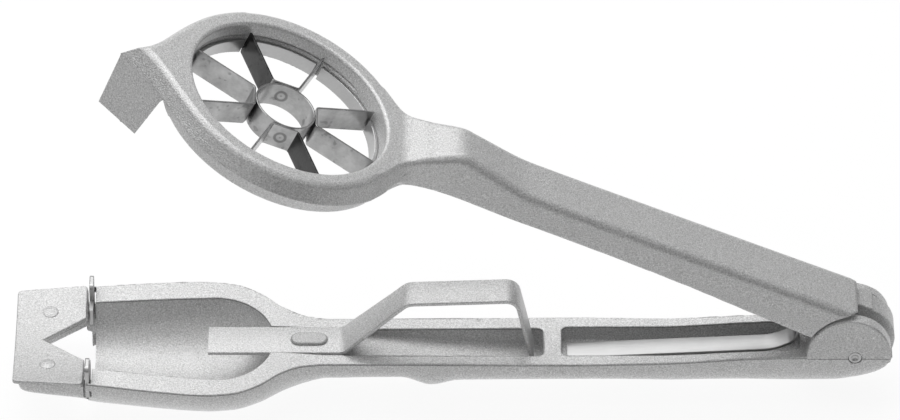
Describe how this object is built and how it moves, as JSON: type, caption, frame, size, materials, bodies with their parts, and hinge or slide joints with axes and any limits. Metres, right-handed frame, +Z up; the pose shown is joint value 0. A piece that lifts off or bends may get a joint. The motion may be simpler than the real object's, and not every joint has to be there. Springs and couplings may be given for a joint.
{
  "type": "radish cutter",
  "caption": "Hand press in hinged cast arms: a ring of star blades with a wedge above a notched scoop, a bow strap and a hairpin spring.",
  "frame": {"origin": "centre of the bounding box at its lowest face, where the scoop's flat stands", "axes": "+Z up, +X along the lower arm from the tip plate towards the hinge, +Y across the arms; the hinge pin lies along Y"},
  "size_m": [0.2074, 0.0612, 0.1015],
  "materials": {
    "bodywork": "fine silver paint with a slight grain over cast aluminium and sheet steel",
    "bare_steel": "bright spring and sheet steel",
    "blade_steel": "rolled stainless strip with faint stains from use"
  },
  "bodies": {
    "lower_arm": {"lower_handle": "bodywork", "tip_plate": "bodywork", "plate_rivets": "bodywork", "guide_far": "bare_steel", "guide_near": "bare_steel", "bow_strap": "bodywork", "strap_stud": "bodywork", "leaf_spring": "bare_steel", "hinge_pin": "bare_steel"},
    "upper_arm": {"upper_handle": "bodywork", "retaining_ring": "bare_steel", "core_ring": "blade_steel", "blade_front": "blade_steel", "blade_far": "blade_steel", "blade_rear": "blade_steel", "blade_near": "blade_steel"}
  },
  "joints": [
    {"name": "hinge", "type": "hinge", "parent": "lower_arm", "child": "upper_arm", "pos_m": [0.09415, 0, 0.0145], "axis": [0, -1, 0], "range_deg": [0, 24.5], "stiffness_Nm_per_rad": 1, "springref_deg": -20.05, "deforming": ["bow_strap", "leaf_spring"]}
  ]
}
